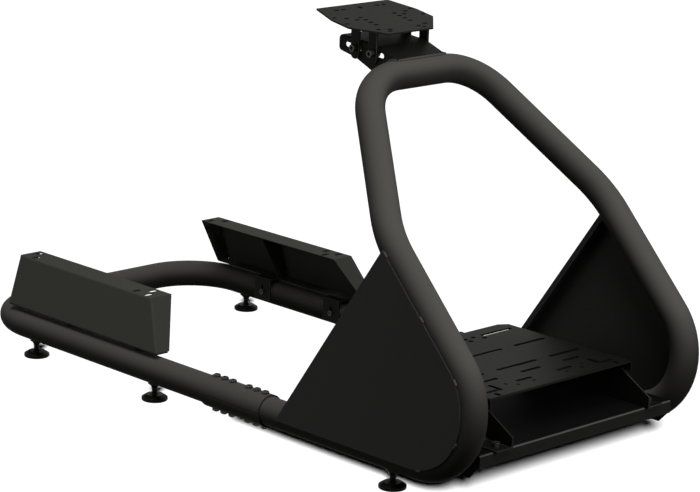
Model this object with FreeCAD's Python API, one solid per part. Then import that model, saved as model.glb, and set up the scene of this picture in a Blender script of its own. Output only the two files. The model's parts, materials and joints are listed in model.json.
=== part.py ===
import FreeCAD, Part
import math
import os

# Racing seat frame: an open rig of bent steel tube that carries a seat, pedals and a steering wheel.
# +X points to the pedals, +Y to the driver's left, +Z up. Millimetres, origin on the floor at mid length.

# Tube frame
frame_length = 1290.0
tube_diameter = 50.0
tube_wall = 2.0
rail_spacing = 520.0
rail_height = 55.0
rear_corner_radius = 112.0
front_bend_radius = 108.0
leg_lean = 46.0
shoulder_height = 410.0
shoulder_radius = 180.0
seam_straight = 10.0
crossbar_height = 617.0
crossbar_corner = 126.0
crossbar_radius = 112.0

# Splice between the rear frame and the front tubes
splice_middle = 85.0
splice_length = 148.0
sleeve_wall = 3.0
sleeve_slit = 2.0
splice_bolt_pitch = 20.6
splice_bolt_first = 20.2
splice_bolts_each_end = 3

# Feet, measured from the two ends of the frame and from the splice
rear_foot_inset = 169.0
middle_foot_behind_splice = 225.0
front_foot_inset = 192.0
pad_diameter = 46.0
pad_height = 11.0
pad_rim = 6.0
pad_crown = 30.0
stem_diameter = 10.0
boss_diameter = 24.0
boss_height = 9.0

# Folded sheet and its fasteners
sheet = 3.0
fold_radius = 4.0
bolt_diameter = 8.0
bolt_hole = 8.5
head_diameter = 13.0
head_height = 8.0
socket_width = 6.0
socket_depth = 4.0
nut_width = 13.0
nut_height = 6.5
button_diameter = 13.5
button_height = 4.6
button_edge = 3.0
button_socket_depth = 2.6
low_nut_height = 5.0
fit_gap = 0.15

# Side panels, measured from the splice
panel_clear_of_splice = 37.0
panel_apex_drop = 14.0
panel_return = 17.0

# Seat brackets, measured from the rear of the frame
bracket_sheet = 2.0
bracket_rear_inset = 100.0
bracket_top_length = 375.0
bracket_bottom_length = 425.0
bracket_top = 176.0
bracket_above_rail = 6.0
bracket_outer_top = 246.5
bracket_width_top = 47.5
bracket_outer_bottom = 274.0
bracket_width_bottom = 29.0
seat_slot_length = 19.0
seat_slot_width = 10.0
seat_slot_inner = 211.5
seat_slot_outer = 233.0
rear_inner_slot_inset = 13.0
rear_outer_slot_inset = 32.0
front_outer_slot_inset = 23.0
front_inner_slot_inset = 36.5
front_second_slot_inset = 55.0
rib_from_rear = 173.0
rib_inset = 1.5

# Saddles that hang the seat brackets on the rails, measured from the rear of the brackets
rear_saddle = 146.0
front_saddle = 338.0
saddle_length = 43.0
saddle_thickness = 4.0
saddle_drop = 43.0
saddle_slot_length = 17.0
saddle_slot_width = 6.6
saddle_slot_above_rail = 8.5
saddle_screw_diameter = 6.0
saddle_screw_length = 16.0
saddle_head_diameter = 10.5
saddle_head_height = 3.3
saddle_head_edge = 2.4
saddle_socket_width = 4.0
saddle_socket_depth = 1.6

# Pedal tray
tray_top = 164.0
tray_length = 292.0
tray_set_back = 39.0
tray_half_width = 174.0
tray_corner_length = 15.0
tray_corner_width = 26.0
tray_flange = 18.0
gusset_inset = 4.0
gusset_length = 296.0
gusset_overhang = 8.0
gusset_nose_top = 112.0
gusset_set_back = 39.0
tray_foot_width = 34.0
tray_foot_length = 66.0
tray_bolt_spacing = 28.0
base_top = 92.0
base_front_inset = 27.0
base_length = 318.0
base_lip = 22.0
base_side = 42.0

# Pedal slots, in rows that share out the length of the tray from its rear edge
pedal_slot_width = 8.0
heel_row = tray_length * 33 / 292
heel_peg_row = tray_length * 46 / 292
middle_row = tray_length * 110 / 292
ball_row = tray_length * 189 / 292
short_row = tray_length * 220 / 292
toe_row = tray_length * 250 / 292
toe_peg_row = tray_length * 264 / 292
corner_row = tray_length * 280 / 292
wing_slot_inner = 80.0
wing_slot_outer = 156.0
short_wing_outer = 121.0
centre_slot_half = 49.0
short_centre_half = 24.0
toe_slot_inner = 30.0
toe_slot_outer = 68.0
peg_slot_length = 11.0
heel_peg_inner = 40.0
heel_peg_outer = 60.0
toe_peg_diameter = 6.5
toe_peg_outer = 93.0
toe_peg_middle = 78.0
hook_start = tray_length * 241 / 292
hook_inner = 121.0
hook_outer = 156.0
corner_slot_offset = 145.0

# Wheel bracket, measured from the crossbar axis
wheel_half_width = 58.5
wheel_sheet = 3.5
wheel_rear = 136.5
wheel_rear_top = 51.5
wheel_rear_bottom = 23.5
wheel_knee = 41.5
wheel_knee_height = 43.5
wheel_front_lap = 3.0
wheel_front_height = 27.5
wheel_corner = 8.0
wheel_belly = 87.0
wheel_belly_height = 13.5

# Wheel deck, measured from the crossbar axis
deck_tilt = 9.9
deck_thickness = 3.0
deck_rear = 165.0
deck_rear_height = 92.0
deck_length = 145.0
deck_rear_half = 85.0
deck_middle_half = 101.0
deck_middle_start = 55.0
deck_middle_end = 97.0
deck_front_half = 53.5
rear_strap = 92.5
front_strap = 50.5
strap_bolt_height = 33.5
strap_slope = 4.9
strap_width = 20.0
strap_thickness = 4.0
strap_gap = 0.3
strap_below_bolt = 19.0
reach_slot_width = 9.0
reach_travel = 8.0
rear_slot_spare = 15.5
front_slot_spare = 11.5

# Wheel base slots in the deck, measured from its rear edge and its middle line
deck_slot_length = 11.0
deck_slot_width = 5.5
deck_hole_diameter = 10.0
deck_hole_inset = 19.0
inner_column = 40.5
inner_column_start = 62.0
inner_column_pitch = 13.0
inner_column_count = 4
inner_column_end = 135.0
side_column = 56.0
side_column_pitch = 51.5
side_column_count = 3
outer_column = 91.0
outer_column_start = 50.0
outer_column_pitch = 32.0
outer_column_count = 2
lone_slot = 70.0
lone_slot_inset = 59.0
tip_slot = 34.0
tip_slot_inset = 128.0

tube_radius = tube_diameter / 2
bore_radius = tube_radius - tube_wall
rail_y = rail_spacing / 2
lean = math.radians(leg_lean)
leg_slope = 1 / math.tan(lean)
front_bend_x = frame_length / 2 - tube_radius - front_bend_radius
front_corner_x = front_bend_x + front_bend_radius * math.tan((math.pi - lean) / 2)
rear_axis_x = -frame_length / 2 + tube_radius
foot_stations = [
    rear_foot_inset - frame_length / 2,
    splice_middle - middle_foot_behind_splice,
    frame_length / 2 - front_foot_inset,
]
panel_rear = splice_middle + splice_length / 2 + panel_clear_of_splice
bracket_rear = bracket_rear_inset - frame_length / 2
bracket_front_top = bracket_rear + bracket_top_length
bracket_front_bottom = bracket_rear + bracket_bottom_length
saddle_stations = [bracket_rear + rear_saddle, bracket_rear + front_saddle]
saddle_slot_middle = rail_height + saddle_slot_above_rail
saddle_screw_height = saddle_slot_middle - (saddle_slot_length - saddle_slot_width) / 2
base_front = frame_length / 2 - base_front_inset
base_rear = base_front - base_length
gusset_nose = base_front + gusset_overhang
gusset_rear = gusset_nose - gusset_length
tray_front = base_front - tray_set_back
tray_rear = tray_front - tray_length
strap_stations = [rear_strap, front_strap]


def vec(x, y, z):
    return FreeCAD.Vector(x, y, z)


def leg_x(height):
    return front_corner_x - (height - rail_height) * leg_slope


crossbar_x = leg_x(crossbar_height)


def save(name, shape):
    os.makedirs("parts", exist_ok=True)
    shape.exportStep(os.path.join("parts", name + ".step"))


def mirrored(shape):
    return shape.mirror(vec(0, 0, 0), vec(0, 1, 0))


def rounded_path(points, radii):
    edges = []
    start = points[0]
    for before, corner, after, radius in zip(points, points[1:], points[2:], radii):
        back = (before - corner).normalize()
        ahead = (after - corner).normalize()
        inside = back.getAngle(ahead)
        reach = radius / math.tan(inside / 2)
        middle = (back + ahead).normalize() * (radius / math.sin(inside / 2) - radius)
        entry = corner + back * reach
        leave = corner + ahead * reach
        edges.append(Part.LineSegment(start, entry).toShape())
        edges.append(Part.Arc(entry, corner + middle, leave).toShape())
        start = leave
    edges.append(Part.LineSegment(start, points[-1]).toShape())
    return Part.Wire(edges)


def bar(path, radius):
    first = path.Edges[0]
    ring = Part.Circle(first.valueAt(first.FirstParameter), first.tangentAt(first.FirstParameter), radius)
    return path.makePipeShell([Part.Wire([ring.toShape()])], True, False)


def pipe(path):
    return bar(path, tube_radius).cut(bar(path, bore_radius))


def cylinder(radius, height, base, direction):
    return Part.makeCylinder(radius, height, base, direction)


def plate(points, depth):
    wire = Part.makePolygon(points + [points[0]])
    return Part.Face(wire).extrude(depth)


def slot(centre, length, width, along, through):
    half = along * ((length - width) / 2)
    across = through.cross(along).normalize() * (width / 2)
    ends = (centre - half, centre + half)
    sides = [
        Part.LineSegment(ends[0] - across, ends[1] - across).toShape(),
        Part.Arc(ends[1] - across, ends[1] + along * (width / 2), ends[1] + across).toShape(),
        Part.LineSegment(ends[1] + across, ends[0] + across).toShape(),
        Part.Arc(ends[0] + across, ends[0] - along * (width / 2), ends[0] - across).toShape(),
    ]
    return Part.Face(Part.Wire(sides)).extrude(through)


def hexagon(width, height, base, direction):
    side = direction.cross(vec(0, 0, 1))
    if side.Length < 0.5:
        side = vec(1, 0, 0)
    side.normalize()
    other = direction.cross(side).normalize()
    corner = width / math.sqrt(3)
    points = []
    for step in range(6):
        angle = math.radians(60 * step)
        points.append(base + side * (corner * math.cos(angle)) + other * (corner * math.sin(angle)))
    return plate(points, direction * height)


def cap_screw(seat, direction, length):
    head = cylinder(head_diameter / 2, head_height, seat, direction)
    socket = hexagon(socket_width, socket_depth, seat + direction * (head_height - socket_depth), direction)
    shank = cylinder(bolt_diameter / 2, length, seat, direction * -1)
    return head.cut(socket).fuse(shank).removeSplitter()


def cap_bolt(seat, direction, grip):
    inward = direction * -1
    nut = hexagon(nut_width, nut_height, seat + inward * grip, inward)
    return cap_screw(seat, direction, grip + nut_height).fuse(nut).removeSplitter()


def button_bolt(seat, direction, grip):
    inward = direction * -1
    head = cylinder(button_diameter / 2, button_height, seat, direction)
    rim = [edge for edge in head.Edges if (edge.CenterOfMass - seat).dot(direction) > button_height * 0.9]
    head = head.makeFillet(button_edge, rim)
    socket = hexagon(socket_width, button_socket_depth, seat + direction * (button_height - button_socket_depth),
                     direction)
    shank = cylinder(bolt_diameter / 2, grip + low_nut_height, seat, inward)
    nut = hexagon(nut_width, low_nut_height, seat + inward * grip, inward)
    return head.cut(socket).fuse([shank, nut]).removeSplitter()


def saddle_screw(seat, direction):
    head = cylinder(saddle_head_diameter / 2, saddle_head_height, seat, direction)
    rim = [edge for edge in head.Edges if (edge.CenterOfMass - seat).dot(direction) > saddle_head_height * 0.9]
    head = head.makeFillet(saddle_head_edge, rim)
    socket = hexagon(saddle_socket_width, saddle_socket_depth,
                     seat + direction * (saddle_head_height - saddle_socket_depth), direction)
    shank = cylinder(saddle_screw_diameter / 2, saddle_screw_length, seat, direction * -1)
    return head.cut(socket).fuse(shank).removeSplitter()


def fold_edges(block, chosen):
    return block.makeFillet(fold_radius, [edge for edge in block.Edges if chosen(edge)])


# Tubes
along_x = vec(1, 0, 0)
along_y = vec(0, 1, 0)
up = vec(0, 0, 1)

shoulder_turn = math.atan2((rail_y - crossbar_corner) * math.sin(lean), crossbar_height - shoulder_height)
shoulder_reach = shoulder_radius * math.tan(shoulder_turn / 2) + seam_straight
seam_height = shoulder_height - shoulder_reach * math.sin(lean)
splice_bolts = []
for number in range(splice_bolts_each_end):
    offset = splice_bolt_first + number * splice_bolt_pitch
    splice_bolts += [splice_middle - offset, splice_middle + offset]


def rear_path():
    points = [
        vec(splice_middle, rail_y, rail_height),
        vec(rear_axis_x, rail_y, rail_height),
        vec(rear_axis_x, -rail_y, rail_height),
        vec(splice_middle, -rail_y, rail_height),
    ]
    return rounded_path(points, [rear_corner_radius, rear_corner_radius])


def side_path():
    points = [
        vec(splice_middle, rail_y, rail_height),
        vec(front_corner_x, rail_y, rail_height),
        vec(leg_x(seam_height), rail_y, seam_height),
    ]
    return rounded_path(points, [front_bend_radius])


def top_path():
    half = [
        vec(leg_x(seam_height), rail_y, seam_height),
        vec(leg_x(shoulder_height), rail_y, shoulder_height),
        vec(crossbar_x, crossbar_corner, crossbar_height),
    ]
    other = [vec(point.x, -point.y, point.z) for point in reversed(half)]
    return rounded_path(half + other, [shoulder_radius, crossbar_radius, crossbar_radius, shoulder_radius])


def bolt_holes():
    drills = []
    for x in splice_bolts:
        base = vec(x, rail_y, 0)
        drills.append(cylinder(bolt_hole / 2, 2 * rail_height, base, up))
    return drills


def saddle_drills():
    drills = []
    for station in saddle_stations:
        base = vec(station, rail_y - 2 * tube_radius, saddle_screw_height)
        drills.append(cylinder(saddle_slot_width / 2, 2 * tube_radius, base, along_y))
    return drills


def make_tubes():
    holes = bolt_holes()
    cross_holes = saddle_drills()
    far_holes = [mirrored(hole) for hole in holes + cross_holes]
    save("rear_frame", pipe(rear_path()).cut(holes + cross_holes + far_holes))
    side = pipe(side_path()).cut(holes)
    save("side_tube_left", side)
    save("side_tube_right", mirrored(side))
    save("top_hoop", pipe(top_path()))


# Splice sleeves
def make_sleeves():
    start = splice_middle - splice_length / 2
    axis_point = vec(start, rail_y, rail_height)
    outer = cylinder(tube_radius + fit_gap + sleeve_wall, splice_length, axis_point, along_x)
    inner = cylinder(tube_radius + fit_gap, splice_length, axis_point, along_x)
    ring = outer.cut([inner] + bolt_holes())
    reach = 2 * tube_radius
    for name, level in (("upper", sleeve_slit / 2), ("lower", -sleeve_slit / 2 - reach)):
        keep = Part.makeBox(splice_length, 2 * reach, reach, vec(start, rail_y - reach, rail_height + level))
        half = ring.common(keep)
        save("splice_sleeve_%s_left" % name, half)
        save("splice_sleeve_%s_right" % name, mirrored(half))
    seat = rail_height + tube_radius + fit_gap + sleeve_wall
    grip = 2 * (tube_radius + fit_gap + sleeve_wall)
    bolts = [button_bolt(vec(x, rail_y, seat), up, grip) for x in splice_bolts]
    save("splice_bolts_left", Part.makeCompound(bolts))
    save("splice_bolts_right", Part.makeCompound([mirrored(bolt) for bolt in bolts]))


# Feet
def make_feet():
    tube_under = rail_height - tube_radius
    for number, x in enumerate(foot_stations, 1):
        pad_points = [
            vec(x, rail_y, 0),
            vec(x + pad_diameter / 2, rail_y, 0),
            vec(x + pad_diameter / 2, rail_y, pad_rim),
            vec(x + pad_crown / 2, rail_y, pad_height),
            vec(x, rail_y, pad_height),
        ]
        stem_points = [
            vec(x, rail_y, pad_height),
            vec(x + stem_diameter / 2, rail_y, pad_height),
            vec(x + stem_diameter / 2, rail_y, tube_under - boss_height),
            vec(x + boss_diameter / 2, rail_y, tube_under),
            vec(x + boss_diameter / 2, rail_y, rail_height),
            vec(x, rail_y, rail_height),
        ]
        axis = vec(x, rail_y, 0)
        solids = []
        for points in (pad_points, stem_points):
            face = Part.Face(Part.makePolygon(points + [points[0]]))
            solids.append(face.revolve(axis, up, 360))
        rail = cylinder(tube_radius, 2 * boss_diameter, vec(x - boss_diameter, rail_y, rail_height), along_x)
        pad, stem = solids[0], solids[1].cut(rail)
        save("foot_pad_left_%d" % number, pad)
        save("foot_pad_right_%d" % number, mirrored(pad))
        save("foot_stem_left_%d" % number, stem)
        save("foot_stem_right_%d" % number, mirrored(stem))


# Side panels
def make_panels():
    plane = rail_y + tube_radius
    apex_height = seam_height - panel_apex_drop
    bottom_rear = vec(panel_rear, plane, rail_height)
    apex = vec(leg_x(apex_height), plane, apex_height)
    outline = rounded_path([bottom_rear, vec(front_corner_x, plane, rail_height), apex], [front_bend_radius])
    closing = Part.LineSegment(apex, bottom_rear).toShape()
    skin = Part.Face(Part.Wire(outline.Edges + [closing])).extrude(along_y * sheet)
    edge = (apex - bottom_rear).normalize()
    ahead = along_y.cross(edge).normalize()
    corners = [bottom_rear, apex, apex + ahead * sheet, bottom_rear + ahead * sheet]
    lip = plate([point - along_y * panel_return for point in corners], along_y * panel_return)
    lip = lip.cut(bar(side_path(), tube_radius + strap_gap))
    panel = skin.fuse(lip).removeSplitter()
    save("side_panel_left", panel)
    save("side_panel_right", mirrored(panel))


# Seat brackets
bracket_bottom = rail_height + tube_radius + bracket_above_rail


def bracket_block(inset, open_side):
    rear = bracket_rear + inset
    outer_top = bracket_outer_top - inset
    outer_bottom = bracket_outer_bottom - inset
    inner_top = bracket_outer_top - bracket_width_top - open_side
    inner_bottom = bracket_outer_bottom - bracket_width_bottom - open_side
    levels = (
        (bracket_top - inset, bracket_front_top - inset, inner_top, outer_top),
        (bracket_bottom + inset, bracket_front_bottom - inset, inner_bottom, outer_bottom),
    )
    wires = []
    for height, front, inner, outer in levels:
        points = [vec(rear, inner, height), vec(front, inner, height),
                  vec(front, outer, height), vec(rear, outer, height)]
        wires.append(Part.makePolygon(points + [points[0]]))
    return Part.makeLoft(wires, True, True)


def on_outer_web(edge):
    limit = bracket_outer_top - fold_radius
    return all(vertex.Y > limit for vertex in edge.Vertexes)


def bracket_rib():
    slice_height = bracket_top - bracket_bottom
    slab = Part.makeBox(bracket_sheet, bracket_outer_bottom, slice_height,
                        vec(bracket_rear + rib_from_rear, 0, bracket_bottom))
    return bracket_block(bracket_sheet / 2, -rib_inset).common(slab)


def make_brackets():
    block = fold_edges(bracket_block(0, 0), on_outer_web)
    bracket = block.cut(bracket_block(bracket_sheet, bracket_width_top))
    places = [
        (bracket_rear + rear_inner_slot_inset, seat_slot_inner),
        (bracket_rear + rear_outer_slot_inset, seat_slot_outer),
        (bracket_front_top - front_outer_slot_inset, seat_slot_outer),
        (bracket_front_top - front_inner_slot_inset, seat_slot_inner),
        (bracket_front_top - front_second_slot_inset, seat_slot_outer),
    ]
    cuts = []
    for x, y in places:
        base = vec(x, y, bracket_top - 2 * sheet)
        cuts.append(slot(base, seat_slot_length, seat_slot_width, along_y, up * (3 * sheet)))
    bracket = bracket.cut(cuts).fuse(bracket_rib()).removeSplitter()
    save("seat_bracket_left", bracket)
    save("seat_bracket_right", mirrored(bracket))


def make_saddles():
    face = rail_y - tube_radius
    for number, station in enumerate(saddle_stations, 1):
        start = station - saddle_length / 2
        cheek = Part.makeBox(saddle_length, saddle_thickness, saddle_drop,
                             vec(start, face - saddle_thickness, bracket_bottom - saddle_drop))
        leg_width = bracket_outer_bottom - 2 * sheet - face + saddle_thickness
        leg = Part.makeBox(saddle_length, leg_width, saddle_thickness,
                           vec(start, face - saddle_thickness, bracket_bottom - saddle_thickness))
        hole = slot(vec(station, face - 2 * saddle_thickness, saddle_slot_middle), saddle_slot_length,
                    saddle_slot_width, up, along_y * (3 * saddle_thickness))
        saddle = cheek.fuse(leg).removeSplitter().cut(hole)
        screw = saddle_screw(vec(station, face - saddle_thickness, saddle_screw_height), along_y * -1)
        save("saddle_left_%d" % number, saddle)
        save("saddle_right_%d" % number, mirrored(saddle))
        save("saddle_bolts_left_%d" % number, screw)
        save("saddle_bolts_right_%d" % number, mirrored(screw))


# Pedal tray
def row_slot(row, first, last):
    centre = vec(tray_rear + row, (first + last) / 2, tray_top - 2 * sheet)
    return slot(centre, last - first, pedal_slot_width, along_y, up * (3 * sheet))


def peg_slot(row, y):
    return row_slot(row, y - peg_slot_length / 2, y + peg_slot_length / 2)


def peg_hole(row, y):
    return cylinder(toe_peg_diameter / 2, 3 * sheet, vec(tray_rear + row, y, tray_top - 2 * sheet), up)


def lengthwise_slot(first, last, y):
    centre = vec(tray_rear + (first + last) / 2, y, tray_top - 2 * sheet)
    return slot(centre, last - first, pedal_slot_width, along_x, up * (3 * sheet))


def pedal_slots():
    side = [row_slot(row, wing_slot_inner, wing_slot_outer) for row in (heel_row, middle_row, ball_row)]
    side.append(row_slot(short_row, wing_slot_inner, short_wing_outer))
    side.append(row_slot(toe_row, toe_slot_inner, toe_slot_outer))
    side += [peg_slot(heel_row, heel_peg_inner), peg_slot(heel_row, heel_peg_outer)]
    side += [peg_slot(heel_peg_row, heel_peg_inner), peg_slot(heel_peg_row, wing_slot_inner - peg_slot_length / 2)]
    side += [peg_hole(toe_row, toe_peg_outer), peg_hole(toe_peg_row, toe_peg_middle)]
    side.append(peg_hole(toe_peg_row, heel_peg_inner))
    hook_end = toe_peg_row + pedal_slot_width / 2
    side.append(lengthwise_slot(hook_start - pedal_slot_width / 2, hook_end, hook_inner))
    side.append(row_slot(toe_peg_row, hook_inner - pedal_slot_width / 2, hook_outer))
    reach = peg_slot_length - pedal_slot_width / 2
    side.append(lengthwise_slot(corner_row - reach, corner_row + reach, corner_slot_offset))
    middle = [row_slot(row, -centre_slot_half, centre_slot_half) for row in (middle_row, ball_row)]
    middle.append(row_slot(short_row, -short_centre_half, short_centre_half))
    return side + [mirrored(cut) for cut in side] + middle


def make_tray():
    half = tray_half_width
    low = tray_top - tray_flange
    block = Part.makeBox(tray_length, 2 * half, tray_flange, vec(tray_rear, -half, low))

    def at_side_fold(edge):
        return all(abs(vertex.Y) > half - sheet / 2 and vertex.Z > tray_top - sheet / 2 for vertex in edge.Vertexes)

    block = fold_edges(block, at_side_fold)
    hollow = Part.makeBox(tray_length, 2 * (half - sheet), tray_flange - sheet, vec(tray_rear, sheet - half, low))
    corner = plate([
        vec(tray_rear, half - tray_corner_width, low),
        vec(tray_rear + tray_corner_length, half, low),
        vec(tray_rear, half, low),
    ], up * tray_flange)
    save("pedal_plate", block.cut([hollow, corner, mirrored(corner)] + pedal_slots()))


def tray_bolt_points():
    y = tray_half_width - gusset_inset + tray_foot_width / 2
    inset = (tray_foot_length - tray_bolt_spacing) / 2
    return [vec(gusset_nose - inset - step * tray_bolt_spacing, y, base_top) for step in (0, 1)]


def tray_drills():
    return [cylinder(bolt_hole / 2, 4 * sheet, point - up * (2 * sheet), up) for point in tray_bolt_points()]


def make_gussets():
    outer = tray_half_width - gusset_inset
    under = tray_top - sheet
    side = [
        vec(gusset_rear, outer - sheet, under),
        vec(tray_front - gusset_set_back, outer - sheet, under),
        vec(gusset_nose, outer - sheet, gusset_nose_top),
        vec(gusset_nose, outer - sheet, base_top),
        vec(gusset_rear, outer - sheet, base_top),
    ]
    web = plate(side, along_y * sheet)
    foot = Part.makeBox(tray_foot_length, tray_foot_width, sheet,
                        vec(gusset_nose - tray_foot_length, outer, base_top))
    gusset = web.fuse(foot).removeSplitter().cut(tray_drills())
    save("tray_gusset_left", gusset)
    save("tray_gusset_right", mirrored(gusset))
    bolts = [cap_bolt(point + up * sheet, up, 2 * sheet) for point in tray_bolt_points()]
    save("tray_bolts_left", Part.makeCompound(bolts))
    save("tray_bolts_right", Part.makeCompound([mirrored(bolt) for bolt in bolts]))


def make_base():
    width = 2 * (rail_y - tube_radius)
    outer = Part.makeBox(base_length, width, base_side, vec(base_rear, -width / 2, base_top - base_side))
    inner = Part.makeBox(base_length - sheet, width - 2 * sheet, base_side - sheet,
                         vec(base_rear, sheet - width / 2, base_top - base_side))
    trim_points = [
        vec(base_front - base_lip, -width, base_top - base_side),
        vec(base_front, -width, base_top - base_side),
        vec(base_front, -width, base_top - base_lip),
        vec(base_front - sheet, -width, base_top - base_lip),
    ]
    trim = plate(trim_points, along_y * (2 * width))
    drills = tray_drills()

    def at_front_fold(edge):
        return all(vertex.X > base_front - sheet / 2 and vertex.Z > base_top - sheet / 2 for vertex in edge.Vertexes)

    pan = fold_edges(outer, at_front_fold)
    save("tray_base", pan.cut([inner, trim] + drills + [mirrored(drill) for drill in drills]))


# Wheel bracket
def at_crossbar(behind, height, y):
    return vec(crossbar_x - behind, y, crossbar_height + height)


def reach_axis():
    slope = math.radians(strap_slope)
    return vec(math.cos(slope), 0, -math.sin(slope))


def strap_bolt_point(behind, y):
    drop = (strap_stations[0] - behind) * math.tan(math.radians(strap_slope))
    return at_crossbar(behind, strap_bolt_height - drop, y)


def make_wheel_bracket():
    def outline(y, inset):
        return [
            at_crossbar(wheel_rear, wheel_rear_bottom, y),
            at_crossbar(wheel_rear, wheel_rear_top - inset, y),
            at_crossbar(wheel_knee, wheel_knee_height - inset, y),
            at_crossbar(-wheel_front_lap, wheel_front_height - inset, y),
            at_crossbar(-wheel_front_lap, -tube_radius / 2, y),
            at_crossbar(tube_radius, -tube_radius / 2, y),
            at_crossbar(wheel_belly, wheel_belly_height, y),
        ]
    half = wheel_half_width

    def at_side_fold(edge):
        low = min(vertex.Z for vertex in edge.Vertexes)
        flat = abs(edge.Vertexes[0].Y - edge.Vertexes[1].Y) < sheet
        return flat and low > crossbar_height + tube_radius

    def at_rear_corner(edge):
        behind = max(vertex.X for vertex in edge.Vertexes)
        return behind < crossbar_x - wheel_rear + sheet and abs(edge.Vertexes[0].Y - edge.Vertexes[1].Y) > half

    block = plate(outline(-half, 0), along_y * (2 * half))
    block = block.makeFillet(wheel_corner, [edge for edge in block.Edges if at_rear_corner(edge)])
    block = fold_edges(block, at_side_fold)
    inner = half - wheel_sheet
    hollow = plate(outline(-inner, wheel_sheet), along_y * (2 * inner))
    crossbar = cylinder(tube_radius, 4 * half, vec(crossbar_x, -2 * half, crossbar_height), along_y)
    cuts = [hollow, crossbar]
    travel = 2 * reach_travel + reach_slot_width
    for behind, spare in ((rear_strap, -rear_slot_spare), (front_strap, front_slot_spare)):
        centre = strap_bolt_point(behind, -2 * half) + reach_axis() * (spare / 2)
        cuts.append(slot(centre, travel + abs(spare), reach_slot_width, reach_axis(), along_y * (4 * half)))
    bracket = block.cut(cuts)
    save("wheel_bracket", bracket)


# Wheel deck
def deck_point(along, y, depth):
    tilt = math.radians(deck_tilt)
    down = vec(-math.sin(tilt), 0, -math.cos(tilt))
    ahead = vec(math.cos(tilt), 0, -math.sin(tilt))
    return at_crossbar(deck_rear, deck_rear_height, y) + ahead * along + down * depth


def deck_slots():
    places = [(inner_column, deck_hole_inset), (inner_column, inner_column_end)]
    places += [(inner_column, inner_column_start + step * inner_column_pitch) for step in range(inner_column_count)]
    places += [(side_column, deck_hole_inset + step * side_column_pitch) for step in range(side_column_count)]
    places += [(outer_column, outer_column_start + step * outer_column_pitch) for step in range(outer_column_count)]
    places += [(lone_slot, lone_slot_inset), (tip_slot, tip_slot_inset)]
    through = deck_point(0, 0, 3 * deck_thickness) - deck_point(0, 0, 0)
    cuts = []
    for y, along in places:
        for side in (-1, 1):
            top = deck_point(along, side * y, -deck_thickness)
            cuts.append(slot(top, deck_slot_length, deck_slot_width, along_y, through))
    hole = deck_point(deck_hole_inset, 0, -deck_thickness)
    cuts.append(cylinder(deck_hole_diameter / 2, through.Length, hole, through))
    return cuts


def make_deck():
    half = [
        (0, deck_rear_half),
        (deck_middle_start, deck_middle_half),
        (deck_middle_end, deck_middle_half),
        (deck_length, deck_front_half),
    ]
    outline = [deck_point(along, y, 0) for along, y in half]
    outline += [deck_point(along, -y, 0) for along, y in reversed(half)]
    through = deck_point(0, 0, deck_thickness) - deck_point(0, 0, 0)
    save("wheel_deck", plate(outline, through).cut(deck_slots()))
    inner = wheel_half_width + strap_gap
    tilt = math.tan(math.radians(deck_tilt))
    under = deck_point(0, 0, deck_thickness)
    bolts = []
    for number, behind in enumerate(strap_stations, 1):
        hole = strap_bolt_point(behind, inner)
        foot = hole - up * (strap_below_bolt - strap_width / 2)
        left = foot - along_x * (strap_width / 2)
        right = foot + along_x * (strap_width / 2)
        top_left = vec(left.x, inner, under.z - (left.x - under.x) * tilt)
        top_right = vec(right.x, inner, under.z - (right.x - under.x) * tilt)
        sides = [
            Part.LineSegment(top_left, left).toShape(),
            Part.Arc(left, foot - up * (strap_width / 2), right).toShape(),
            Part.LineSegment(right, top_right).toShape(),
            Part.LineSegment(top_right, top_left).toShape(),
        ]
        strap = Part.Face(Part.Wire(sides)).extrude(along_y * strap_thickness)
        strap = strap.cut(cylinder(bolt_hole / 2, 3 * strap_thickness, hole - along_y * strap_thickness, along_y))
        save("deck_strap_left_%d" % number, strap)
        save("deck_strap_right_%d" % number, mirrored(strap))
        grip = strap_thickness + strap_gap + wheel_sheet + strap_gap
        bolts.append(cap_bolt(hole + along_y * strap_thickness, along_y, grip))
    save("deck_bolts_left", Part.makeCompound(bolts))
    save("deck_bolts_right", Part.makeCompound([mirrored(bolt) for bolt in bolts]))


make_tubes()
make_sleeves()
make_feet()
make_panels()
make_brackets()
make_saddles()
make_tray()
make_gussets()
make_base()
make_wheel_bracket()
make_deck()
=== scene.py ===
import json
import math

import bmesh
import bpy
from mathutils import Matrix, Vector

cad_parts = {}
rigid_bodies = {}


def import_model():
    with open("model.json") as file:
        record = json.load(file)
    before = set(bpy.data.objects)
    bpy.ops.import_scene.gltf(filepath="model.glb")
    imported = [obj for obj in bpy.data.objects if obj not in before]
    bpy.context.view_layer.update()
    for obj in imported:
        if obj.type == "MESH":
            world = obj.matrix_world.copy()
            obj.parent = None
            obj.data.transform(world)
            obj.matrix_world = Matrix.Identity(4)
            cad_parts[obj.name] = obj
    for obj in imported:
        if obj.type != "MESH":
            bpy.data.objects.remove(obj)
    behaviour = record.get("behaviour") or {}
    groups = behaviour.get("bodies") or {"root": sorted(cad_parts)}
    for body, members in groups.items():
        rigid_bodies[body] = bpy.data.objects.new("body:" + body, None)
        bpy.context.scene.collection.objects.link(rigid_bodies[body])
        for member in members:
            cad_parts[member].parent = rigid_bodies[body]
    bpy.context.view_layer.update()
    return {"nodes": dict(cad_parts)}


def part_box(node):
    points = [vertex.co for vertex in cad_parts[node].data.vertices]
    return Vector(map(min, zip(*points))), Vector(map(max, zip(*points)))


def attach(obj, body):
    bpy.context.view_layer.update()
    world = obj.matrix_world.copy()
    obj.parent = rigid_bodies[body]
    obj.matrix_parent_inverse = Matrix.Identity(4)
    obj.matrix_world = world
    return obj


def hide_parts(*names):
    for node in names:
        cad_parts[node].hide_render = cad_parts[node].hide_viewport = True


# Looks of the seat frame of a sim racing rig: coated tube and sheet, screws, weld beads and levelling feet.
# Metres, +X to the pedals, +Y to the driver's left, +Z up.

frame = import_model()
nodes = frame["nodes"]
bpy.ops.object.select_all(action="DESELECT")

mm = 0.001
sides = {"left": 1, "right": -1}


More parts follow.
